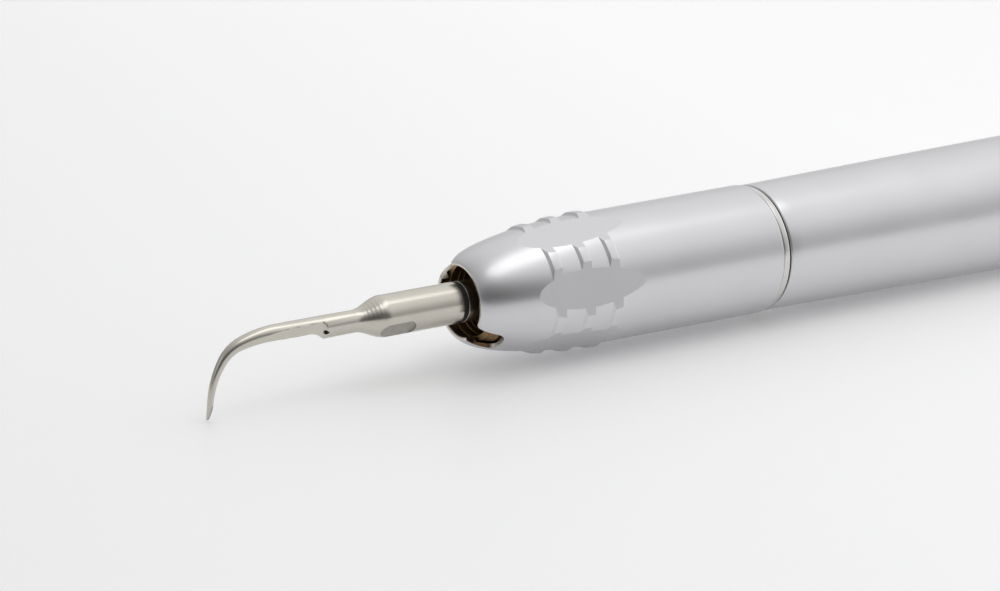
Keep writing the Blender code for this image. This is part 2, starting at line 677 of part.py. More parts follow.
def detent_ball(mat, parent):
    bm = bmesh.new()
    bmesh.ops.create_uvsphere(bm, u_segments=10, v_segments=6, radius=BALL_RADIUS)
    centre = along(HOUSING_REAR + 0.4 - BALL_RADIUS, DETENT_RADIUS, DETENT_TURN)
    bmesh.ops.translate(bm, vec=centre, verts=bm.verts)
    return place("detent_ball", bm, mat, parent, centre.x)


def detent_spring(mat, parent):
    """Small coil spring behind the ball."""
    turns, wire, coil = 3.0, 0.09, 0.36
    rear = HOUSING_REAR + 0.4 - 2 * BALL_RADIUS - FIT
    front = 104.95
    steps = 30
    points = []
    for i in range(steps + 1):
        angle = math.tau * turns * i / steps
        offset = Vector((front + (rear - front) * i / steps, coil * math.cos(angle), coil * math.sin(angle)))
        points.append(offset + around(DETENT_TURN, DETENT_RADIUS))
    bm = bmesh.new()
    sides = 6
    rings = []
    for i, point in enumerate(points):
        before = points[max(i - 1, 0)]
        after = points[min(i + 1, steps)]
        turn = (after - before).to_track_quat("X", "Z").to_matrix()
        rings.append([bm.verts.new(point + turn @ around(math.tau * k / sides, wire)) for k in range(sides)])
    for a, b in zip(rings, rings[1:]):
        for k in range(sides):
            n = (k + 1) % sides
            bm.faces.new((a[k], a[n], b[n], b[k]))
    bm.faces.new(rings[0])
    bm.faces.new(rings[-1])
    return place("detent_spring", bm, mat, parent, front)


# ---------------------------------------------------------------- hose end
def tail_sleeve(mat, parent):
    """Screwed collar at the rear, which clamps the connector's flange."""
    outside = [(TAIL_FRONT, RING_BORE), (TAIL_FRONT, TAIL_RADIUS - 0.2), (TAIL_FRONT + 0.2, TAIL_RADIUS)]
    outside += [(119.5, TAIL_RADIUS), (122.4, 7.0), (TAIL_REAR, 6.6), (TAIL_REAR, LIP_BORE)]
    inside = [(121.8, LIP_BORE), (121.8, FLANGE_RADIUS + FIT)]
    inside += [(118.4, FLANGE_RADIUS + FIT), (118.4, RING_BORE)]
    return turned("tail_sleeve", outside + inside, ROUND_SIDES, mat, parent)


def connector_gasket(mat, parent):
    gasket = turned("connector_gasket", tube_profile(118.25, 118.85, 5.6, 0.5), ROUND_SIDES, mat, parent)
    for name, distance, turn, radius in PASSAGES:
        hole = rod(radius, along(117.0, distance, turn), along(120.0, distance, turn))
        cut(gasket, cutter(f"gasket_{name}_cut", hole, parent, 118.25))
    return gasket


def hose_connector(mat, parent):
    """Four-passage end that the hose nut screws onto."""
    profile = [(FLANGE_FRONT, 0.35), (FLANGE_FRONT, FLANGE_RADIUS), (FLANGE_REAR, FLANGE_RADIUS)]
    profile += [(FLANGE_REAR, CONNECTOR_RADIUS - 0.3), (123.4, CONNECTOR_RADIUS - 0.3)]
    profile += [(123.7, CONNECTOR_RADIUS), (BODY_LENGTH - 0.5, CONNECTOR_RADIUS)]
    profile += [(BODY_LENGTH, CONNECTOR_RADIUS - 0.5), (BODY_LENGTH, 0.0)]
    profile += [(BODY_LENGTH - 6.0, 0.0), (BODY_LENGTH - 6.0, 0.35)]
    connector = turned("hose_connector", profile, ROUND_SIDES, mat, parent)
    for name, distance, turn, radius in PASSAGES:
        hole = rod(radius, along(118.0, distance, turn), along(BODY_LENGTH + 1.0, distance, turn))
        cut(connector, cutter(f"connector_{name}_cut", hole, parent, FLANGE_FRONT))
    return connector


# ---------------------------------------------------------------- assembly
def build():
    clear_scene()
    aluminium = material("satin_aluminium", (0.72, 0.72, 0.74), 1.0, 0.32)
    tip_steel = material("tip_steel", (0.62, 0.59, 0.54), 1.0, 0.28)
    steel = material("ground_steel", (0.55, 0.55, 0.56), 1.0, 0.3)
    brass = material("brass", (0.45, 0.31, 0.16), 1.0, 0.4)
    polished = material("polished_ring", (0.78, 0.76, 0.72), 1.0, 0.15)
    rubber = material("seal_rubber", (0.03, 0.03, 0.03), 0.0, 0.6)

    body = axis_empty("handpiece_axis", 0.0)
    pivot = axis_empty("vibration_pivot", PIVOT, body, 0.0)
    rotor = axis_empty("rotor_axis", ROTOR_FRONT, pivot, PIVOT)
    tip = axis_empty("tip_axis", 0.0, pivot, PIVOT)
    control = axis_empty("power_ring_axis", PIN_STATION, body, 0.0)

    front_sleeve(aluminium, body)
    nose_bush(brass, body)
    damper_nut(steel, body)
    inner_barrel(aluminium, body)
    o_ring("barrel_seal", 34.5, 6.04, 0.32, rubber, body)
    joint_ring(polished, body)
    rear_housing(aluminium, body)
    rear_bush(brass, body)
    rear_damper_nut(steel, body)
    o_ring("rear_damper_ring", REAR_DAMPER, DAMPER_RING_RADIUS, DAMPER_CORD_RADIUS, rubber, body)

    o_ring("front_damper_ring", FRONT_DAMPER, DAMPER_RING_RADIUS, DAMPER_CORD_RADIUS, rubber, pivot)
    vibrator_shaft(steel, pivot)
    rotor_pieces(steel, pivot, rotor)
    o_ring("water_tube_seal", 21.5, 1.05, 0.3, rubber, pivot)
    tip_seal_ring(rubber, tip)
    scaler_tip(tip_steel, tip)

    water_tube(steel, body)
    air_tube(steel, body)
    tube_plate(aluminium, body)
    valve_core(brass, body)
    o_ring("valve_seal", 100.4, 6.27, 0.32, rubber, body)
    valve_sleeve(steel, control)
    power_ring(aluminium, control)
    coupling_pin(steel, control)
    o_ring("power_ring_seal", 114.7, 7.0, 0.2, rubber, control)
    detent_ball(steel, body)
    detent_spring(steel, body)
    tail_sleeve(aluminium, body)
    connector_gasket(rubber, body)
    hose_connector(steel, body)


build()
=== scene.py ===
"""Looks of the air-driven dental scaler handpiece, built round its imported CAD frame.

Stations are millimetres behind the plane of the nose rim, along the handpiece's axis, and angles
round the axis start at +Y and turn towards +Z.
"""

import math

import bmesh
import bpy
from mathutils import Matrix, Vector


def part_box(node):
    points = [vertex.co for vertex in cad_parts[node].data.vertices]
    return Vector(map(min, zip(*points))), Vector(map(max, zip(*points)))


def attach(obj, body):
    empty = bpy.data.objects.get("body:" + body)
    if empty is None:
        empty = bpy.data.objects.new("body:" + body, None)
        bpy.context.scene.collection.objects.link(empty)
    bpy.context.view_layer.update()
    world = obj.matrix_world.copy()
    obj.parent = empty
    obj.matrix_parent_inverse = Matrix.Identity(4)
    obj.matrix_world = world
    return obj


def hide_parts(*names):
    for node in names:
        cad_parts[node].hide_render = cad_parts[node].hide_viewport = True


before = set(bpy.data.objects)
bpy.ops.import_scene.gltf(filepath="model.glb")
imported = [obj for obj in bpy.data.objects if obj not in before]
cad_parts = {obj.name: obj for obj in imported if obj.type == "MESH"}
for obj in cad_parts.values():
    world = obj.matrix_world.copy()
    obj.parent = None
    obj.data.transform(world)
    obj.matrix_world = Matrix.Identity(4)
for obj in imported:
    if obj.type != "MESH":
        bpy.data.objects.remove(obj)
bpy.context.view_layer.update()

MM = 0.001
RIM_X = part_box("front_sleeve")[0].x
AXIS_HEIGHT = sum(corner.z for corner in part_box("rear_housing")) / 2
BODY_LENGTH = (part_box("hose_connector")[1].x - RIM_X) / MM
JOINT_STATION = (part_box("front_sleeve")[1].x - RIM_X) / MM

FINE = 192                 # facets round the grip
MEDIUM = 96                # facets round the smaller turned pieces
SAME_POINT = 1e-4          # points closer than this become one
LONGEST_ROUNDING = 0.48    # share of an edge that the rounding at one of its ends may take
ON_PLANE = math.cos(math.radians(0.35))    # a face whose normal is this close to a plane's lies on it


# ---------------------------------------------------------------- turning and cutting
def around(turn, radius):
    """Y and Z of a point at this turn and distance from the axis."""
    return Vector((0.0, radius * math.cos(turn), radius * math.sin(turn)))


def along(station, distance, turn):
    """A point at this station, distance from the axis and turn round it."""
    return Vector((station, 0, 0)) + around(turn, distance)


def rounded(corners, steps=4):
    """A closed outline from (station, radius, corner radius) triples, with an arc at each corner."""
    points = []
    count = len(corners)
    for i, (station, radius, fillet) in enumerate(corners):
        here = Vector((station, radius))
        if fillet == 0:
            points.append((station, radius))
            continue
        back = Vector(corners[i - 1][:2]) - here
        ahead = Vector(corners[(i + 1) % count][:2]) - here
        half = back.angle(ahead) / 2
        reach = min(fillet / math.tan(half), LONGEST_ROUNDING * min(back.length, ahead.length))
        start = here + back.normalized() * reach
        end = here + ahead.normalized() * reach
        inward = (back.normalized() + ahead.normalized()).normalized()
        centre = here + inward * reach / math.cos(half)
        first = math.atan2(*(start - centre).yx)
        sweep = math.remainder(math.atan2(*(end - centre).yx) - first, math.tau)
        size = (start - centre).length
        for k in range(steps + 1):
            angle = first + sweep * k / steps
            points.append((centre.x + size * math.cos(angle), centre.y + size * math.sin(angle)))
    return points


def spun(profile, sides, first_turn=0.0, sweep=math.tau):
    """A closed outline of (station, radius) points spun about the axis."""
    bm = bmesh.new()
    verts = [bm.verts.new(Vector((s, 0, 0)) + around(first_turn, max(r, 0.0))) for s, r in profile]
    edges = [bm.edges.new((a, b)) for a, b in zip(verts, verts[1:] + verts[:1])]
    whole = sweep >= math.tau
    if not whole:
        bm.faces.new(verts)
    bmesh.ops.spin(
        bm,
        geom=verts + edges + list(bm.faces),
        cent=(0, 0, 0),
        axis=(1, 0, 0),
        angle=sweep,
        steps=sides,
        use_merge=whole,
    )
    return bm


def to_object(name, bm):
    """An object whose origin is on the axis at the rim, from a bmesh in millimetres."""
    bmesh.ops.remove_doubles(bm, verts=bm.verts, dist=SAME_POINT)
    bmesh.ops.recalc_face_normals(bm, faces=bm.faces)
    bmesh.ops.transform(bm, matrix=Matrix.Scale(MM, 4), verts=bm.verts)
    mesh = bpy.data.meshes.new(name)
    bm.to_mesh(mesh)
    bm.free()
    obj = bpy.data.objects.new(name, mesh)
    bpy.context.scene.collection.objects.link(obj)
    obj.location = (RIM_X, 0.0, AXIS_HEIGHT)
    return obj


def carve(obj, tools):
    """Cut each tool's bmesh out of the object and keep the result as its mesh."""
    cutters = []
    for i, bm in enumerate(tools):
        tool = to_object(f"{obj.name}_tool_{i}", bm)
        mod = obj.modifiers.new(tool.name, "BOOLEAN")
        mod.operation = "DIFFERENCE"
        mod.solver = "EXACT"
        mod.object = tool
        cutters.append(tool)
    graph = bpy.context.evaluated_depsgraph_get()
    mesh = bpy.data.meshes.new_from_object(obj.evaluated_get(graph))
    obj.modifiers.clear()
    obj.data = mesh
    for tool in cutters:
        bpy.data.objects.remove(tool, do_unlink=True)


def finish_piece(obj, body, materials, nodes, sharp=32.0, planes=()):
    """Shade a new piece, give it its materials and let it ride on its body in place of its CAD nodes."""
    mesh = obj.data
    mesh.shade_smooth()
    mesh.set_sharp_from_angle(angle=math.radians(sharp))
    if planes:
        sharpen_round_planes(mesh, planes)
    weighted = obj.modifiers.new("weighted_normals", "WEIGHTED_NORMAL")
    weighted.keep_sharp = True
    mesh.materials.clear()
    for mat in materials:
        mesh.materials.append(mat)
    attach(obj, body)
    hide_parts(*nodes)


def sharpen_round_planes(mesh, planes):
    """Keep the edge crisp where one of these planes meets a curved surface."""
    bm = bmesh.new()
    bm.from_mesh(mesh)
    flat_faces = {f for f in bm.faces if any(f.normal.dot(n) > ON_PLANE for n in planes)}
    for edge in bm.edges:
        if len(edge.link_faces) == 2 and sum(face in flat_faces for face in edge.link_faces) == 1:
            edge.smooth = False
    bm.to_mesh(mesh)
    bm.free()


def rod(radius, start, end, sides=32):
    """A round bar of this radius between two points."""
    bm = bmesh.new()
    start = Vector(start)
    span = Vector(end) - start
    turn = span.to_track_quat("Z", "Y").to_matrix().to_4x4()
    middle = Matrix.Translation(start + span / 2) @ turn
    bmesh.ops.create_cone(
        bm, cap_ends=True, segments=sides, radius1=radius, radius2=radius, depth=span.length, matrix=middle
    )
    return bm


def block(size, matrix):
    """A box of this size, centred on the matrix."""
    bm = bmesh.new()
    bmesh.ops.create_cube(bm, size=1.0, matrix=matrix @ Matrix.Diagonal((*size, 1.0)))
    return bm


def slab(outline, bottom, top, matrix):
    """An outline of (x, y) points raised from bottom to top along Z, then placed by the matrix."""
    bm = bmesh.new()
    low = [bm.verts.new(matrix @ Vector((x, y, bottom))) for x, y in outline]
    high = [bm.verts.new(matrix @ Vector((x, y, top))) for x, y in outline]
    bm.faces.new(low)
    bm.faces.new(high)
    for i in range(len(outline)):
        n = (i + 1) % len(outline)
        bm.faces.new((low[i], low[n], high[n], high[i]))
    return bm


def facing(turn):
    """Turns +Z to face outwards at this turn round the axis."""
    return Matrix.Rotation(turn - math.pi / 2, 4, "X")


# ---------------------------------------------------------------- materials
COLOR_A, COLOR_B, MIXED_COLOR = 6, 7, 2        # a Mix node's sockets for colours, by their place
NUMBER_A, NUMBER_B, MIXED_NUMBER = 2, 3, 0     # and for plain numbers


class Paint:
    """A procedural material, with short names for the nodes it is built from."""

    def __init__(self, name, color, metallic, roughness):
        self.mat = bpy.data.materials.new(name)
        self.mat.use_nodes = True
        self.tree = self.mat.node_tree
        self.shader = self.tree.nodes["Principled BSDF"]
        self.shader.inputs["Base Color"].default_value = (*color, 1.0)
        self.shader.inputs["Metallic"].default_value = metallic
        self.shader.inputs["Roughness"].default_value = roughness
        self.coords = self.tree.nodes.new("ShaderNodeTexCoord").outputs["Object"]

    def node(self, kind, output, **inputs):
        node = self.tree.nodes.new(kind)
        for key, value in inputs.items():
            self.feed(node.inputs[key.replace("_", " ")], value)
        return node.outputs[output]

    def feed(self, socket, value):
        if isinstance(value, bpy.types.NodeSocket):
            self.tree.links.new(value, socket)
        else:
            socket.default_value = value

    def noise(self, size_mm, detail, vector=None):
        """Noise whose blotches are about size_mm across."""
        scale = 1.0 / (size_mm * MM)
        place = vector or self.coords
        return self.node("ShaderNodeTexNoise", "Fac", Vector=place, Scale=scale, Detail=detail)

    def stretched(self, x, y, z):
        """Coordinates squeezed or stretched along each axis."""
        return self.node("ShaderNodeMapping", "Vector", Vector=self.coords, Scale=(x, y, z))

    def ramp(self, value, low, high, first, last):
        """Value moved from low..high to first..last, and held at its ends."""
        node = self.tree.nodes.new("ShaderNodeMapRange")
        self.feed(node.inputs["Value"], value)
        for key, number in (("From Min", low), ("From Max", high), ("To Min", first), ("To Max", last)):
            node.inputs[key].default_value = number
        return node.outputs["Result"]

    def mix(self, share, first, second):
        node = self.tree.nodes.new("ShaderNodeMix")
        node.data_type = "RGBA"
        self.feed(node.inputs["Factor"], share)
        node.inputs[COLOR_A].default_value = (*first, 1.0)
        node.inputs[COLOR_B].default_value = (*second, 1.0)
        return node.outputs[MIXED_COLOR]

    def bump(self, height, depth_mm, strength, normal=None):
        node = self.tree.nodes.new("ShaderNodeBump")
        node.inputs["Distance"].default_value = depth_mm * MM
        node.inputs["Strength"].default_value = strength
        self.feed(node.inputs["Height"], height)
        if normal is not None:
            self.feed(node.inputs["Normal"], normal)
        return node.outputs["Normal"]

    def set(self, **sockets):
        for key, value in sockets.items():
            self.feed(self.shader.inputs[key.replace("_", " ")], value)
        return self.mat


def satin_metal(name, roughness):
    """Fine-blasted satin silver of the grip."""
    paint = Paint(name, (0.66, 0.66, 0.675), 1.0, roughness)
    grain = paint.noise(0.3, 2.0)
    cloud = paint.noise(7.0, 2.0)
    color = paint.mix(cloud, (0.635, 0.635, 0.652), (0.685, 0.685, 0.702))
    rough = paint.ramp(cloud, 0.0, 1.0, roughness * 0.8, roughness * 1.2)
    return paint.set(Base_Color=color, Roughness=rough, Normal=paint.bump(grain, 0.01, 0.14))


LATHE_STRENGTH = 0.3
GRAIN_STRENGTH = LATHE_STRENGTH * 0.4


def turned_metal(name, dark, light, roughness, ring_mm=0.12, depth_mm=0.004, stain_mm=2.0):
    """Metal with fine rings from the lathe round X and a little staining."""
    paint = Paint(name, light, 1.0, roughness)
    rings = paint.noise(ring_mm, 2.0, paint.stretched(1.0, 0.04, 0.04))
    grain = paint.noise(0.06, 2.0)
    stain = paint.noise(stain_mm, 3.0)
    color = paint.mix(paint.ramp(stain, 0.2, 0.8, 0.0, 1.0), dark, light)
    rough = paint.ramp(stain, 0.1, 0.9, roughness * 1.2, roughness * 0.8)
    normal = paint.bump(rings, depth_mm, LATHE_STRENGTH, paint.bump(grain, depth_mm, GRAIN_STRENGTH))
    return paint.set(Base_Color=color, Roughness=rough, Normal=normal)


def seal_rubber():
    paint = Paint("seal_rubber", (0.025, 0.025, 0.026), 0.0, 0.55)
    mottle = paint.noise(0.3, 3.0)
    color = paint.mix(mottle, (0.018, 0.018, 0.019), (0.04, 0.04, 0.041))
    rough = paint.ramp(mottle, 0.3, 0.7, 0.48, 0.65)
    paint.set(Specular_IOR_Level=0.2)
    return paint.set(Base_Color=color, Roughness=rough, Normal=paint.bump(mottle, 0.01, 0.3))


SATIN = satin_metal("satin_silver", 0.3)
MILLED = satin_metal("milled_flats", 0.46)
POLISHED = turned_metal("polished_ring", (0.62, 0.61, 0.59), (0.70, 0.69, 0.67), 0.24, depth_mm=0.002)
NICKEL = turned_metal("nickel_edge", (0.54, 0.51, 0.46), (0.66, 0.63, 0.57), 0.24, depth_mm=0.002)
# Darker steel: the ground finish of the wrench flats, and painted shade on the point's bevel, standing in for
# the dark reflection the facet shows
GROUND_AND_SHADE = turned_metal("ground_facet_painted_shade", (0.37, 0.355, 0.32), (0.45, 0.435, 0.395), 0.42, stain_mm=0.5)
TIP_STEEL = turned_metal("tip_steel", (0.565, 0.54, 0.48), (0.615, 0.59, 0.53), 0.24, stain_mm=5.0)
STEEL = turned_metal("ground_steel", (0.50, 0.50, 0.50), (0.62, 0.62, 0.62), 0.3)
BRASS = turned_metal(
    "dull_brass", (0.20, 0.115, 0.05), (0.36, 0.24, 0.125), 0.38, ring_mm=0.25, depth_mm=0.012
)
ALUMINIUM = turned_metal("turned_aluminium", (0.66, 0.66, 0.67), (0.74, 0.74, 0.75), 0.32)
RUBBER = seal_rubber()


# ---------------------------------------------------------------- front sleeve
SLEEVE_RADIUS = 7.4
SLEEVE_BORE = 6.5
NOSE_LENGTH = 17.0
NOSE_RADIUS = 7.26         # where the nose curve ends and the sleeve's slight taper starts
NOSE_DROP = 2.3            # how far the nose curve falls from there to the rim
NOSE_POWER = 2.2
LIP_DROP = 0.66            # further fall close behind the rim
LIP_LENGTH = 1.1
RIM_RADIUS = 4.28
RIM_BORE = 3.9
CURVE_END = 21.0           # last station drawn point by point
RIB_STATIONS = (8.05, 11.7, 15.25)
RIB_WIDTH = 1.25
RIB_SLOPE = 0.26           # length of a rib's leaning front wall
RIB_FOOT = 0.06            # and of its steep rear wall
RIB_HEIGHT = 0.3
FLAT_COUNT = 6
FLAT_TURN = math.radians(49.0)
FLAT_FRONT = (6.05, 6.4)   # station and distance from the axis at the front end of a flat
FLAT_REAR = (19.6, 7.275)  # and at its rear end
FLAT_TOOL = (30.0, 12.0, 3.0)  # length, width and height of the block that mills a flat
NOTCH_TURN = math.radians(47.0)
NOTCH_WIDTH = 3.0
NOTCH_DEPTH = 2.9
NOTCH_REACH = (3.2, 7.6)   # distances from the axis that the notch tool cuts between
NICKEL_FACE = 1            # places in the sleeve's list of materials
MILLED_FACE = 2


def nose_radius(station):
    """Outer radius of the front sleeve, without its ribs."""
    left = max(0.0, 1.0 - station / NOSE_LENGTH)
    passed = max(0.0, station - NOSE_LENGTH) / (JOINT_STATION - NOSE_LENGTH)
    radius = NOSE_RADIUS + (SLEEVE_RADIUS - NOSE_RADIUS) * passed
    return radius - NOSE_DROP * left**NOSE_POWER - LIP_DROP * math.exp(-station / LIP_LENGTH)


def nose_corners(front, rear, step):
    """Points of the nose curve between two stations, with no rounding of their own."""
    count = max(1, round((rear - front) / step))
    stations = [front + (rear - front) * i / count for i in range(count + 1)]
    return [(station, nose_radius(station), 0) for station in stations]


def front_sleeve():
    corners = [(1.0, RIM_BORE, 0.1), (0.0, RIM_BORE, 0.12), (0.0, RIM_RADIUS, 0.15)]
    corners += nose_corners(0.25, RIB_STATIONS[0] - 0.2, 0.3)
    ends = [station - 0.2 for station in RIB_STATIONS[1:]] + [CURVE_END]
    for front, end in zip(RIB_STATIONS, ends):
        rear = front + RIB_WIDTH
        corners.append((front, nose_radius(front), 0.06))
        corners.append((front + RIB_SLOPE, nose_radius(front) + RIB_HEIGHT, 0.09))
        corners.append((rear, nose_radius(rear) + RIB_HEIGHT, 0.06))
        corners.append((rear + RIB_FOOT, nose_radius(rear), 0.04))
        corners += nose_corners(rear + 0.3, end, 0.5)
    corners += [(JOINT_STATION, SLEEVE_RADIUS, 0.14), (JOINT_STATION, SLEEVE_BORE, 0.1)]
    corners += [(12.0, SLEEVE_BORE, 0.5), (8.0, 6.08, 0.5), (4.0, 5.56, 0.5), (1.0, 4.6, 0.1)]
    sleeve = to_object("front_sleeve_skin", spun(rounded(corners), FINE))

    slope = math.atan2(FLAT_REAR[1] - FLAT_FRONT[1], FLAT_REAR[0] - FLAT_FRONT[0])
    middle = (FLAT_FRONT[0] + FLAT_REAR[0]) / 2
    distance = (FLAT_FRONT[1] + FLAT_REAR[1]) / 2
    tools = []
    planes = []
    for i in range(FLAT_COUNT):
        place = facing(FLAT_TURN + i * math.tau / FLAT_COUNT)
        place = place @ Matrix.Translation((middle, 0, distance)) @ Matrix.Rotation(-slope, 4, "Y")
        tools.append(block(FLAT_TOOL, place @ Matrix.Translation((0, 0, FLAT_TOOL[2] / 2))))
        planes.append(place.to_3x3() @ Vector((0, 0, 1)))
    half = NOTCH_WIDTH / 2
    corners = [(-1.0, -half, 0), (NOTCH_DEPTH, -half, 0.9), (NOTCH_DEPTH, half, 0.9), (-1.0, half, 0)]
    outline = rounded(corners, 8)
    for i in range(2):
        tools.append(slab(outline, *NOTCH_REACH, facing(NOTCH_TURN + i * math.pi)))
    carve(sleeve, tools)
    finish_piece(sleeve, "housing", [SATIN, NICKEL, MILLED], ["front_sleeve"], planes=planes)
    for face in sleeve.data.polygons:
        station = face.center.x / MM
        radius = math.hypot(face.center.y, face.center.z) / MM
        if station < NOTCH_DEPTH + 0.1 and radius < nose_radius(max(station, 0.0)) - 0.05:
            face.material_index = NICKEL_FACE
        elif any(face.normal.dot(plane) > ON_PLANE for plane in planes):
            face.material_index = MILLED_FACE


BUSH_FRONT = 1.3
BUSH_BELOW_SKIN = 0.68
BUSH_BORE = 4.5
LATHE_GROOVE = 0.08        # depth of the grooves the lathe left in the bush


def nose_bush():
    """Brass bush seen through the open nose and the two notches, with rings left by the lathe."""
    corners = [(BUSH_FRONT, RIM_BORE + LATHE_GROOVE, 0.05)]
    corners.append((BUSH_FRONT, nose_radius(BUSH_FRONT) - BUSH_BELOW_SKIN, 0.1))
    for i in range(9):
        station = 1.6 + 0.55 * i
        radius = nose_radius(station) - BUSH_BELOW_SKIN
        corners += [(station, radius, 0.05), (station + 0.15, radius - 0.09, 0.05)]
        corners.append((station + 0.32, radius, 0.05))
    corners += [(8.0, 5.78, 0.1), (12.0, 6.1, 0.1), (12.0, 4.9, 0.1), (16.0, 4.9, 0.2)]
    corners += [(16.0, BUSH_BORE, 0.1), (8.5, BUSH_BORE, 0), (8.5, 4.1, 0), (6.5, 4.1, 0)]
    corners += [(6.5, 3.2, 0), (5.2, 3.2, 0.15), (5.0, RIM_BORE, 0.2)]
    for i in range(4):
        station = 4.5 - 0.7 * i
        corners.append((station, RIM_BORE, 0.04))
        corners.append((station - 0.12, RIM_BORE + LATHE_GROOVE, 0.04))
        corners.append((station - 0.3, RIM_BORE, 0.04))
    bush = to_object("nose_bush_skin", spun(rounded(corners, 3), MEDIUM))
    finish_piece(bush, "housing", [BRASS], ["nose_bush"])


JOINT_RING_RADIUS = 7.22


def joint_ring():
    """Thin ring in the seam between the front sleeve and the rear housing."""
    front, rear = (JOINT_STATION + 0.15, JOINT_STATION + 1.05)
    corners = [(front, SLEEVE_BORE, 0), (front, JOINT_RING_RADIUS, 0.22)]
    corners += [(rear, JOINT_RING_RADIUS, 0.22), (rear, SLEEVE_BORE, 0)]
    ring = to_object("joint_ring_skin", spun(rounded(corners, 6), FINE))
    finish_piece(ring, "housing", [POLISHED], ["joint_ring"])


# ---------------------------------------------------------------- rear housing and what turns on it
REAR_RADIUS = 8.0
HOUSING_WAIST = 40.0       # station where the housing is thinnest
HOUSING_FULL = 88.0        # and where it reaches its full radius
WAIST_DROP = 0.75
WAIST_POWER = 1.25
HOUSING_BORE = 6.9
HOUSING_REAR = 108.0
BORE_REAR = 104.0          # where the bore narrows into the spigot
SPIGOT_END = 117.0
SPIGOT_OUTER = 6.7
SPIGOT_BORE = 6.0
PIN_STATION = 112.0
PIN_TURN = math.radians(-90.0)
PIN_SLOT_HALF = 0.9
PIN_SLOT_SPARE = math.radians(9.0)     # how far the slot runs past the pin's travel at each end
RING_TRAVEL = math.radians(60.0)
DETENT_RADIUS = 7.05
DETENT_TURN = math.radians(60.0)
MARK_TURN = math.radians(90.0)


def housing_radius(station):
    """Outer radius of the rear housing, which swells from the joint to its full radius."""
    left = max(0.0, (HOUSING_FULL - station) / (HOUSING_FULL - HOUSING_WAIST))
    return REAR_RADIUS - WAIST_DROP * left**WAIST_POWER


def rear_housing():
    front = JOINT_STATION + 1.2
    corners = [(front, SLEEVE_BORE, 0.1), (front, housing_radius(front), 0.2)]
    corners += [(42.0 + 2.0 * i, housing_radius(42.0 + 2.0 * i), 0) for i in range(24)]
    corners += [(HOUSING_REAR, REAR_RADIUS, 0.22), (HOUSING_REAR, SPIGOT_OUTER, 0)]
    corners += [(SPIGOT_END, SPIGOT_OUTER, 0.1), (SPIGOT_END, SPIGOT_BORE, 0.1)]
    corners += [(BORE_REAR, SPIGOT_BORE, 0.1), (BORE_REAR, HOUSING_BORE, 0.3)]
    corners += [(66.0, HOUSING_BORE, 0.3), (64.0, SLEEVE_BORE, 0.3)]
    housing = to_object("rear_housing_skin", spun(rounded(corners), FINE))
    near, far = (PIN_STATION - PIN_SLOT_HALF, PIN_STATION + PIN_SLOT_HALF)
    profile = [(near, 5.6), (near, 7.2), (far, 7.2), (far, 5.6)]
    slot = spun(profile, 24, PIN_TURN - PIN_SLOT_SPARE, RING_TRAVEL + 2 * PIN_SLOT_SPARE)
    mark = rod(0.45, along(106.4, 7.88, MARK_TURN), along(106.4, 9.0, MARK_TURN))
    hole_end = along(109.0, DETENT_RADIUS, DETENT_TURN)
    spring_hole = rod(0.6, along(104.7, DETENT_RADIUS, DETENT_TURN), hole_end)
    carve(housing, [slot, mark, spring_hole])
    finish_piece(housing, "housing", [SATIN], ["rear_housing"])


RING_FRONT = 108.3
RING_REAR = 116.0
RING_RADIUS = 7.9
RING_BORE = 7.0
FINGER_GROOVES = (110.4, 112.15, 113.9)
GROOVE_FLOOR = 7.6
SEAL_GROOVE = (114.4, 115.0)
SEAL_GROOVE_FLOOR = 7.25
FLUTE_COUNT = 30
MARKED_SIDE = (math.radians(60.0), math.radians(50.0))     # middle and half-width of the arc without flutes
TRACK_HALF = 0.35          # half the width of the track the detent ball runs in


def power_ring():
    """Ring with three finger grooves, crossed by shallow flutes, and three marks of growing size."""
    corners = [(RING_FRONT, RING_BORE, 0), (RING_FRONT, RING_RADIUS, 0.2)]
    for middle in FINGER_GROOVES:
        corners += [(middle - 0.5, RING_RADIUS, 0.1), (middle - 0.25, GROOVE_FLOOR, 0.1)]
        corners += [(middle + 0.25, GROOVE_FLOOR, 0.1), (middle + 0.5, RING_RADIUS, 0.1)]
    corners += [(RING_REAR, RING_RADIUS, 0.2), (RING_REAR, RING_BORE, 0.1)]
    corners += [(SEAL_GROOVE[1], RING_BORE, 0), (SEAL_GROOVE[1], SEAL_GROOVE_FLOOR, 0)]
    corners += [(SEAL_GROOVE[0], SEAL_GROOVE_FLOOR, 0), (SEAL_GROOVE[0], RING_BORE, 0)]
    ring = to_object("power_ring_skin", spun(rounded(corners), FINE))
    tools = []
    for i in range(FLUTE_COUNT):
        turn = math.tau * i / FLUTE_COUNT
        if abs(math.remainder(turn - MARKED_SIDE[0], math.tau)) < MARKED_SIDE[1]:
            continue
        tools.append(rod(0.5, along(109.7, 8.25, turn), along(114.6, 8.25, turn), 16))
    for i in range(3):
        turn = MARK_TURN - i * RING_TRAVEL / 2
        tools.append(rod(0.22 + 0.12 * i, along(109.2, 7.7, turn), along(109.2, 9.0, turn)))
        pocket_turn = DETENT_TURN - i * RING_TRAVEL / 2
        pocket_end = along(RING_FRONT + 0.4, DETENT_RADIUS, pocket_turn)
        tools.append(rod(0.45, along(RING_FRONT - 0.3, DETENT_RADIUS, pocket_turn), pocket_end))
    inner, outer = (DETENT_RADIUS - TRACK_HALF, DETENT_RADIUS + TRACK_HALF)
    track = [(RING_FRONT - 0.3, inner), (RING_FRONT - 0.3, outer)]
    track += [(RING_FRONT + 0.2, outer), (RING_FRONT + 0.2, inner)]
    tools.append(spun(track, 24, DETENT_TURN - RING_TRAVEL - 0.08, RING_TRAVEL + 0.16))
    tools.append(rod(0.65, along(PIN_STATION, 6.0, PIN_TURN), along(PIN_STATION, 7.45, PIN_TURN)))
    carve(ring, tools)
    finish_piece(ring, "power_control", [SATIN], ["power_ring"])


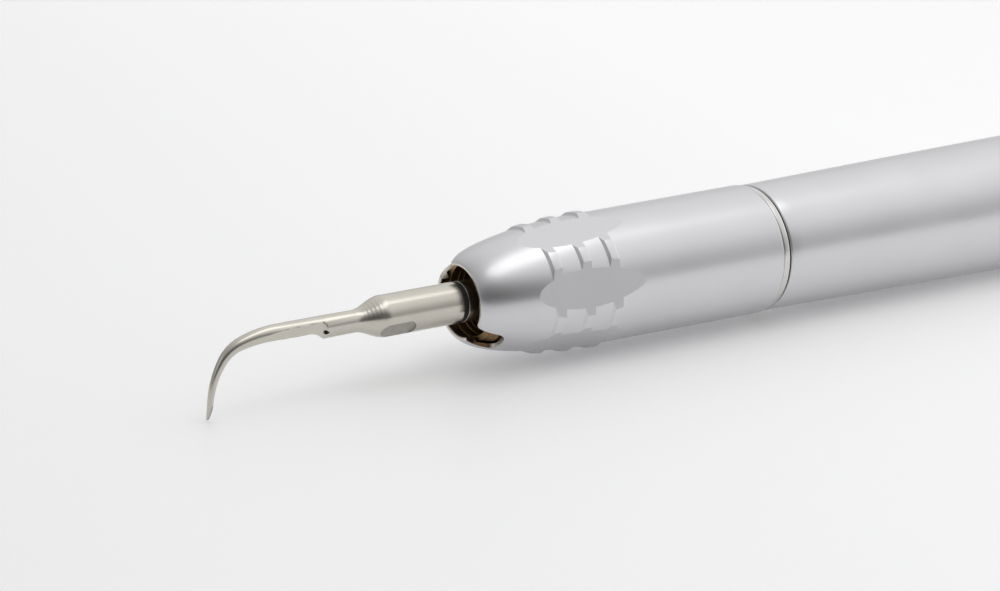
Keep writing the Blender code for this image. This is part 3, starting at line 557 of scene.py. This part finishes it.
TAIL_FRONT = 116.3
TAIL_REAR = 123.0
TAIL_BORE = 7.0
TAIL_SEAT = 6.6
TAIL_MOUTH = 5.05


def tail_sleeve():
    """Sleeve that closes the rear end, with two flats for a wrench."""
    corners = [(TAIL_FRONT, TAIL_BORE, 0), (TAIL_FRONT, 7.8, 0.2), (119.5, 7.8, 0.8), (122.4, 7.0, 0.5)]
    corners += [(TAIL_REAR, 6.6, 0.15), (TAIL_REAR, TAIL_MOUTH, 0.15), (121.8, TAIL_MOUTH, 0)]
    corners += [(121.8, TAIL_SEAT, 0), (118.4, TAIL_SEAT, 0), (118.4, TAIL_BORE, 0)]
    tail = to_object("tail_sleeve_skin", spun(rounded(corners, 6), FINE))
    outline = rounded([(-1.6, -4, 1.2), (2.6, -4, 0), (2.6, 4, 0), (-1.6, 4, 1.2)], 6)
    tools = []
    for i in range(2):
        flat = facing(i * math.pi) @ Matrix.Translation((121.2, 0, 8.5))
        tools.append(slab(outline, -1.15, 1.0, flat))
    carve(tail, tools)
    finish_piece(tail, "housing", [SATIN], ["tail_sleeve"])


PASSAGES = (               # distance from the axis, turn and radius of each bore
    (2.4, math.radians(0.0), 1.3),
    (2.4, math.radians(180.0), 0.9),
    (2.6, math.radians(-90.0), 0.85),
    (2.6, math.radians(90.0), 0.7),
)
THREAD_FRONT = 123.7
THREAD_RADIUS = 4.75
THREAD_PITCH = 0.8
THREAD_DEPTH = 0.42
THREAD_ROWS = 96
CENTRE_HOLE = 0.35         # radius of the blind hole in front
REAR_PLUG = 6.0            # and the solid length behind it


def hose_connector():
    """Threaded hose end with its four passages; the thread is a real helix."""
    corners = [(119.1, CENTRE_HOLE, 0), (119.1, 6.3, 0.1), (121.5, 6.3, 0.1), (121.5, 4.45, 0.05)]
    profile = rounded(corners + [(THREAD_FRONT - 0.3, 4.45, 0)])
    length = BODY_LENGTH - 0.1 - THREAD_FRONT
    stations = [THREAD_FRONT + length * i / THREAD_ROWS for i in range(THREAD_ROWS + 1)]
    profile += [(station, THREAD_RADIUS) for station in stations]
    profile += [(BODY_LENGTH, THREAD_RADIUS - 0.6), (BODY_LENGTH, 0.0)]
    profile += [(BODY_LENGTH - REAR_PLUG, 0.0), (BODY_LENGTH - REAR_PLUG, CENTRE_HOLE)]
    bm = spun(profile, MEDIUM)
    low, high = (min(stations) - SAME_POINT, max(stations) + SAME_POINT)
    for vert in bm.verts:
        radius = math.hypot(vert.co.y, vert.co.z)
        if low < vert.co.x < high and radius > THREAD_RADIUS - 0.05:
            turn = math.atan2(vert.co.z, vert.co.y)
            phase = (vert.co.x / THREAD_PITCH + turn / math.tau) % 1.0
            groove = 1.0 - abs(2.0 * phase - 1.0)
            fade = min(1.0, (vert.co.x - low) / 0.8, (high - vert.co.x) / 0.5)
            depth = THREAD_DEPTH * max(0.0, min(1.0, 1.25 * groove - 0.12))
            cut = depth * fade + 0.3 * (1.0 - fade)
            vert.co.y *= (radius - cut) / radius
            vert.co.z *= (radius - cut) / radius
    connector = to_object("hose_connector_skin", bm)
    tools = [rod(r, along(118.0, d, turn), along(BODY_LENGTH + 1.0, d, turn)) for d, turn, r in PASSAGES]
    carve(connector, tools)
    finish_piece(connector, "housing", [STEEL], ["hose_connector"])


# ---------------------------------------------------------------- shaft and tip
SHAFT_FRONT = -0.1
SHAFT_REAR = 58.0
SHAFT_NOSE = 2.25          # radius of the end seen in the nose
SHAFT_RADIUS = 2.2
SHAFT_SEAT = 2.5           # and under the rotor ring
SHAFT_BORE = 1.5
WATER_BORE = 0.9


def vibrator_shaft():
    """Hollow shaft that holds the tip, with three air holes under the rotor ring."""
    corners = [(SHAFT_FRONT, SHAFT_BORE, 0.05), (SHAFT_FRONT, SHAFT_NOSE, 0.04), (4.0, SHAFT_NOSE, 0.1)]
    corners += [(4.3, SHAFT_RADIUS, 0), (21.0, SHAFT_RADIUS, 0), (21.3, SHAFT_SEAT, 0)]
    corners += [(41.0, SHAFT_SEAT, 0), (41.3, SHAFT_RADIUS, 0), (SHAFT_REAR, SHAFT_RADIUS, 0.15)]
    corners += [(SHAFT_REAR, SHAFT_BORE, 0.1), (17.5, SHAFT_BORE, 0), (17.0, WATER_BORE, 0)]
    corners += [(5.6, WATER_BORE, 0), (5.2, SHAFT_BORE, 0)]
    shaft = to_object("vibrator_shaft_skin", spun(rounded(corners), MEDIUM))
    turns = [math.radians(90 + 120 * i) for i in range(3)]
    carve(shaft, [rod(0.45, along(31.0, 1.0, turn), along(31.0, 3.2, turn)) for turn in turns])
    finish_piece(shaft, "vibrator", [NICKEL], ["vibrator_shaft"])


SEAL_RADIUS = 2.23
SEAL_BORE = 1.4


def tip_seal_ring():
    front, rear = (-0.68, -0.12)
    corners = [(front, SEAL_BORE, 0.1), (front, SEAL_RADIUS, 0.04)]
    corners += [(rear, SEAL_RADIUS, 0.04), (rear, SEAL_BORE, 0.1)]
    ring = to_object("tip_seal_skin", spun(rounded(corners, 5), MEDIUM))
    finish_piece(ring, "tip_seal", [RUBBER], ["tip_seal_ring"])


SHANK_RADIUS = 2.27
SHANK_REAR = -0.7
CONE_REAR = -9.8
NECK_RADIUS = 1.21
NECK_REAR = -13.4
NECK_FRONT = -17.15        # step where the blade starts
TURNED_MARKS = (-12.5, -10.5)      # stations between which the cone is finely ringed
MARK_PITCH = 0.42
MARK_HEIGHT = 0.006
SPIGOT_RADIUS = 1.25
SPIGOT_REAR = 5.0
BLADE_WIDTH = 1.76
BLADE_DEPTH = 1.53
BLADE_TOP = 1.24
STEP_WIDTH = 0.03
STEP_RISE = 0.03           # how far the blade's top stands above the neck
BLADE_STRAIGHT = 5.56      # from the step to the start of the bend
BLADE_BENDS = ((13.0, 20.0, 12), (4.5, 40.0, 20), (10.0, 25.0, 12))    # radius, degrees, steps
POINT_LENGTH = 2.1         # straight end of the blade
BAR_RADII = (              # distance in front of the step, and the bar's radius there
    (0.0, 1.21), (5.0, 1.0), (7.0, 0.86), (10.0, 0.71), (12.5, 0.56),
    (15.0, 0.42), (17.5, 0.34), (18.8, 0.32), (19.8, 0.17),
)
RUN_OUT = 1.9              # length of the milled run-out in front of the step
COVE = 0.4                 # length of the rounded foot of the side flats at the step
TIP_SIDES = 72
WRENCH_FLAT = 2.03         # distance from the axis
WRENCH_FLAT_TURN = math.radians(216.0)
WRENCH_FLAT_FRONT = -11.0
WRENCH_FLAT_REAR = -6.7
WRENCH_FLAT_HALF = 1.1
BEVEL_TOOL = (3.2, 3.2, 2.0)
BEVEL_DEPTH = 1.05         # from the bar's middle at the point to the middle of the bevel's tool
WATER_PASSAGE = 0.35
WATER_OUTLET = 0.23
SAME_WAY = 0.9995          # least cosine between a face's normal and the facet's it belongs to
# The darker steel at this place is painted shade on the point's bevel and the ground finish on the wrench
# flats
GROUND_AND_SHADE_FACE = 1            # place in the tip's list of materials


def run(point, heading, length, steps, bend=0.0):
    """Points and headings along an arc; heading 0 points forward (-X) and grows as it turns down."""
    out = []
    for i in range(1, steps + 1):
        share = i / steps
        if bend == 0.0:
            step = Vector((-math.cos(heading), 0, -math.sin(heading))) * length * share
            out.append((point + step, heading))
        else:
            radius = length / bend
            now = heading + bend * share
            dx = radius * (math.sin(now) - math.sin(heading))
            dz = radius * (math.cos(heading) - math.cos(now))
            out.append((point + Vector((-dx, 0, -dz)), now))
    return out


def blade_guide():
    """Top edge of the blade, from the step behind it round the bend to the point."""
    start = Vector((NECK_FRONT, 0, BLADE_TOP))
    guide = run(start, 0.0, STEP_WIDTH, 1)
    guide += run(start + Vector((-STEP_WIDTH, 0, 0)), 0.0, BLADE_STRAIGHT - STEP_WIDTH, 60)
    for radius, degrees, steps in BLADE_BENDS:
        bend = math.radians(degrees)
        guide += run(guide[-1][0], guide[-1][1], radius * bend, steps, bend)
    return guide + run(guide[-1][0], guide[-1][1], POINT_LENGTH, 6)


def bar_radius(distance):
    """Radius of the blade's bar at a distance in front of the step."""
    for (near, wide), (far, narrow) in zip(BAR_RADII, BAR_RADII[1:]):
        if distance <= far:
            return wide + (narrow - wide) * (distance - near) / (far - near)
    return BAR_RADII[-1][1]


def cone_radius(station):
    """Radius of the shoulder between shank and neck, with the rings the lathe left on it."""
    share = min(1.0, max(0.0, (CONE_REAR - station) / (CONE_REAR - NECK_REAR)))
    radius = SHANK_RADIUS - (SHANK_RADIUS - NECK_RADIUS) * share * share * (3.0 - 2.0 * share)
    if TURNED_MARKS[0] < station < TURNED_MARKS[1]:
        radius += MARK_HEIGHT * math.sin(math.tau * station / MARK_PITCH)
    return radius


def bevel_normal(heading):
    """Way the ground facet faces on a blade that points along this heading."""
    ahead = Vector((-math.cos(heading), 0, -math.sin(heading)))
    return (Vector((0.5, -0.83, 0.0)) + ahead * 0.26).normalized()


def point_bevel(top, heading):
    """Tool for the small ground facet on the inner near side of the point."""
    down = Vector((math.sin(heading), 0, -math.cos(heading)))
    normal = bevel_normal(heading)
    turn = normal.to_track_quat("Z", "Y").to_matrix().to_4x4()
    middle = top + down * BAR_RADII[-1][1] + normal * BEVEL_DEPTH
    return block(BEVEL_TOOL, Matrix.Translation(middle) @ turn)


def blade_ring(bm, top, heading, round_radius, half_width, depth):
    """A round bar of this radius, its top at a point, milled flat on both sides and below."""
    up = Vector((-math.sin(heading), 0, math.cos(heading)))
    centre = top - up * round_radius
    ring = []
    for k in range(TIP_SIDES):
        angle = math.tau * (k + 0.5) / TIP_SIDES
        reach = min(round_radius, half_width / abs(math.cos(angle)))
        if math.sin(angle) < 0 and depth > round_radius:
            reach = min(reach, (depth - round_radius) / -math.sin(angle))
        across = Vector((0, reach * math.cos(angle), 0))
        ring.append(bm.verts.new(centre + across + up * reach * math.sin(angle)))
    return ring


def turned_outline():
    """Stations and radii of the tip's turned part, from the spigot's end to the step."""
    corners = [(SPIGOT_REAR, 0.0, 0), (SPIGOT_REAR, SPIGOT_RADIUS, 0.2), (SHANK_REAR, SPIGOT_RADIUS, 0.05)]
    corners += [(SHANK_REAR, SHANK_RADIUS, 0.08), (CONE_REAR, SHANK_RADIUS, 0), (CONE_REAR, 0.0, 0)]
    outline = rounded(corners, 6)[1:-1]
    steps = round((CONE_REAR - NECK_REAR) / (MARK_PITCH / 7))
    for i in range(1, steps + 1):
        station = CONE_REAR + (NECK_REAR - CONE_REAR) * i / steps
        outline.append((station, cone_radius(station)))
    return outline + [(NECK_FRONT, NECK_RADIUS + STEP_RISE)]


def scaler_tip():
    """Spigot, whose thread is not drawn, shank, shoulder, neck and hooked blade in one piece, with a water
    passage.
    """
    bm = bmesh.new()
    rings = []
    for station, radius in turned_outline():
        rings.append(blade_ring(bm, Vector((station, 0, radius)), 0.0, radius, radius, 2 * radius))
    guide = blade_guide()
    travelled = 0.0
    last = guide[0][0]
    for top, heading in guide:
        travelled += (top - last).length
        last = top
        radius = bar_radius(travelled)
        runout = max(0.0, 1.0 - travelled / RUN_OUT)
        depth = min(2 * radius, BLADE_DEPTH + (BLADE_TOP + NECK_RADIUS - BLADE_DEPTH) * runout**2)
        cove = max(0.0, 1.0 - travelled / COVE)
        half_width = BLADE_WIDTH / 2 + (NECK_RADIUS - BLADE_WIDTH / 2) * cove**2
        rings.append(blade_ring(bm, top, heading, radius, min(radius, half_width), depth))
    for a, b in zip(rings, rings[1:]):
        for k in range(TIP_SIDES):
            n = (k + 1) % TIP_SIDES
            bm.faces.new((a[k], a[n], b[n], b[k]))
    bm.faces.new(rings[0])
    bm.faces.new(rings[-1])
    tip = to_object("scaler_tip_skin", bm)

    tools = [rod(WATER_PASSAGE, (SPIGOT_REAR + 1.0, 0, 0), (-13.6, 0, 0))]
    tools.append(rod(WATER_OUTLET, (-13.4, -0.1, 0.0), (NECK_FRONT - 0.6, -1.17, -0.3)))
    tools.append(point_bevel(*guide[-1]))
    corners = [(WRENCH_FLAT_FRONT, -WRENCH_FLAT_HALF, 1.0), (WRENCH_FLAT_REAR, -WRENCH_FLAT_HALF, 1.0)]
    corners += [(WRENCH_FLAT_REAR, WRENCH_FLAT_HALF, 1.0), (WRENCH_FLAT_FRONT, WRENCH_FLAT_HALF, 1.0)]
    outline = rounded(corners, 10)
    for i in range(2):
        tools.append(slab(outline, WRENCH_FLAT, 3.4, facing(WRENCH_FLAT_TURN + i * math.pi)))
    carve(tip, tools)
    finish_piece(tip, "tip", [TIP_STEEL, GROUND_AND_SHADE], ["scaler_tip"], sharp=24.0)
    flat_way = around(WRENCH_FLAT_TURN, 1.0)
    bevel_way = bevel_normal(guide[-1][1])
    # The wrench flats and the point's bevel take the darker steel; on the bevel it is painted shade
    for face in tip.data.polygons:
        station = face.center.x / MM
        on_flat = abs(face.normal.dot(flat_way)) > SAME_WAY and WRENCH_FLAT_FRONT < station < WRENCH_FLAT_REAR
        on_bevel = face.normal.dot(bevel_way) > SAME_WAY and station < NECK_FRONT
        if on_flat or on_bevel:
            face.material_index = GROUND_AND_SHADE_FACE


# ---------------------------------------------------------------- CAD pieces that stay
KEPT_FINISHES = (
    (STEEL, ("damper_nut", "rear_damper_nut", "front_stop_ring", "rear_stop_ring", "rotor_ring", "air_tube")),
    (STEEL, ("water_tube", "valve_sleeve", "coupling_pin", "detent_ball", "detent_spring")),
    (BRASS, ("rear_bush", "valve_core")),
    (ALUMINIUM, ("inner_barrel", "tube_plate")),
    (RUBBER, ("barrel_seal", "front_damper_ring", "rear_damper_ring", "water_tube_seal", "valve_seal")),
    (RUBBER, ("power_ring_seal", "connector_gasket")),
)


def finish_kept_pieces():
    for mat, names in KEPT_FINISHES:
        for name in names:
            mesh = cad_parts[name].data
            mesh.materials.clear()
            mesh.materials.append(mat)


# ---------------------------------------------------------------- studio
FLOOR_HALF = 6.0
FLOOR_DROP = 0.00002       # keeps the table clear of what rests on it
TABLE_GLOW = (-0.12, 0.06, 0.08, 0.2)  # two places along X, and the light from the table at each


def floor():
    """White table that also glows a little, more towards the hose end."""
    bm = bmesh.new()
    bmesh.ops.create_grid(bm, x_segments=1, y_segments=1, size=FLOOR_HALF)
    mesh = bpy.data.meshes.new("floor")
    bm.to_mesh(mesh)
    bm.free()
    obj = bpy.data.objects.new("floor", mesh)
    bpy.context.scene.collection.objects.link(obj)
    obj.location.z = -FLOOR_DROP
    paint = Paint("white_table", (0.93, 0.93, 0.935), 0.0, 0.5)
    across = paint.node("ShaderNodeSeparateXYZ", "X", Vector=paint.coords)
    glow = paint.ramp(across, *TABLE_GLOW)
    paint.set(Emission_Color=(1.0, 1.0, 1.0, 1.0), Emission_Strength=glow)
    cloud = paint.noise(60.0, 2.0)
    color = paint.mix(cloud, (0.925, 0.925, 0.93), (0.935, 0.935, 0.94))
    mesh.materials.append(paint.set(Base_Color=color, Roughness=paint.ramp(cloud, 0.3, 0.7, 0.42, 0.5)))


SOFTBOX_PLACE = (0.07, -0.125, 0.56)
SOFTBOX_TURN = math.radians(38.0)
SOFTBOX_SIZE = (0.50, 0.24)
SOFTBOX_POWER = 0.34


def softbox():
    light = bpy.data.lights.new("overhead_softbox", "AREA")
    light.shape = "RECTANGLE"
    light.size, light.size_y = SOFTBOX_SIZE
    light.energy = SOFTBOX_POWER
    obj = bpy.data.objects.new("overhead_softbox", light)
    bpy.context.scene.collection.objects.link(obj)
    obj.location = SOFTBOX_PLACE
    obj.rotation_euler.z = SOFTBOX_TURN


class Sky:
    """Brightness of the room by direction, as a small tree of math nodes."""

    def __init__(self, world):
        world.use_nodes = True
        self.tree = world.node_tree
        self.direction = self.tree.nodes.new("ShaderNodeTexCoord").outputs["Generated"]
        split = self.tree.nodes.new("ShaderNodeSeparateXYZ")
        self.tree.links.new(self.direction, split.inputs["Vector"])
        self.height = split.outputs["Z"]
        self.back = split.outputs["Y"]
        self.side = split.outputs["X"]

    def towards(self, direction):
        """Cosine of the angle from a direction."""
        dot = self.tree.nodes.new("ShaderNodeVectorMath")
        dot.operation = "DOT_PRODUCT"
        self.tree.links.new(self.direction, dot.inputs[0])
        dot.inputs[1].default_value = Vector(direction).normalized()
        return dot.outputs["Value"]

    def smooth(self, value, low, high, first, last):
        return self.ramp(value, low, high, first, last, "SMOOTHSTEP")

    def ramp(self, value, low, high, first, last, kind="LINEAR"):
        node = self.tree.nodes.new("ShaderNodeMapRange")
        node.interpolation_type = kind
        self.tree.links.new(value, node.inputs["Value"])
        for key, number in (("From Min", low), ("From Max", high), ("To Min", first), ("To Max", last)):
            node.inputs[key].default_value = number
        return node.outputs["Result"]

    def product(self, *values):
        total = values[0]
        for value in values[1:]:
            node = self.tree.nodes.new("ShaderNodeMath")
            node.operation = "MULTIPLY"
            self.tree.links.new(total, node.inputs[0])
            self.tree.links.new(value, node.inputs[1])
            total = node.outputs["Value"]
        return total


# Brightness of the room by direction: HORIZON and CEILING blend with height, and the rest multiply them.
CEILING = 1.05             # straight up
HORIZON = 0.56             # at the horizon
BACK_WALL = 1.25           # on the wall behind the handpiece
BEHIND_CAMERA = (-0.25, -0.93, 0.1)
BEHIND_CAMERA_DIM = 0.3    # in the dark patch behind the camera
LEFT_SIDE = 0.3            # on the side the tip points to
RIGHT_SIDE = 1.0           # on the side the hose end points to
END_WINDOW = 3.0           # in the window at the far end of that side
BEFORE_TIP = (-0.93, 0.05, 0.3)
BEFORE_TIP_GLOW = 2.6      # in the pale patch of wall beyond the tip


def studio():
    """A white room, dim behind the camera, with one large softbox overhead."""
    floor()
    softbox()
    world = bpy.data.worlds.new("studio")
    bpy.context.scene.world = world
    sky = Sky(world)
    rise = sky.smooth(sky.height, 0.1, 0.85, HORIZON, CEILING)
    back = sky.smooth(sky.back, -0.3, 0.8, 1.0, BACK_WALL)
    low = sky.smooth(sky.height, 0.2, 0.8, 1.0, 0.0)
    wall = sky.tree.nodes.new("ShaderNodeMix")
    wall.data_type = "FLOAT"
    wall.inputs[NUMBER_A].default_value = 1.0
    sky.tree.links.new(low, wall.inputs["Factor"])
    sky.tree.links.new(back, wall.inputs[NUMBER_B])
    dim = sky.smooth(sky.towards(BEHIND_CAMERA), 0.6, 0.95, 1.0, BEHIND_CAMERA_DIM)
    side = sky.ramp(sky.side, -0.95, 0.55, LEFT_SIDE, RIGHT_SIDE)
    window = sky.smooth(sky.side, 0.74, 0.95, 1.0, END_WINDOW)
    tip_side = sky.smooth(sky.towards(BEFORE_TIP), 0.88, 0.98, 1.0, BEFORE_TIP_GLOW)
    background = sky.tree.nodes["Background"]
    background.inputs["Color"].default_value = (1.0, 1.0, 1.0, 1.0)
    strength = sky.product(rise, wall.outputs[MIXED_NUMBER], dim, side, window, tip_side)
    sky.tree.links.new(strength, background.inputs["Strength"])


CAMERA_YAW = math.radians(34.38)        # how far the view is turned towards the hose end
CAMERA_ELEVATION = math.radians(17.27)
CAMERA_ROLL = math.radians(1.02)
CAMERA_FROM_RIM = Vector((-181.443, -272.946, 102.666)) * MM
CAMERA_LENS = 115.2


def camera():
    data = bpy.data.cameras.new("camera")
    data.sensor_width = 36.0
    data.lens = CAMERA_LENS
    data.clip_start = 0.01
    obj = bpy.data.objects.new("camera", data)
    bpy.context.scene.collection.objects.link(obj)
    obj.location = Vector((RIM_X, 0.0, AXIS_HEIGHT)) + CAMERA_FROM_RIM
    aim = Matrix.Rotation(-CAMERA_YAW, 4, "Z") @ Matrix.Rotation(math.pi / 2 - CAMERA_ELEVATION, 4, "X")
    obj.rotation_euler = (aim @ Matrix.Rotation(CAMERA_ROLL, 4, "Z")).to_euler()
    bpy.context.scene.camera = obj


# ---------------------------------------------------------------- the whole scene
camera()
front_sleeve()
nose_bush()
joint_ring()
rear_housing()
power_ring()
tail_sleeve()
hose_connector()
vibrator_shaft()
tip_seal_ring()
scaler_tip()
finish_kept_pieces()
studio()
bpy.context.scene.view_settings.view_transform = "Standard"
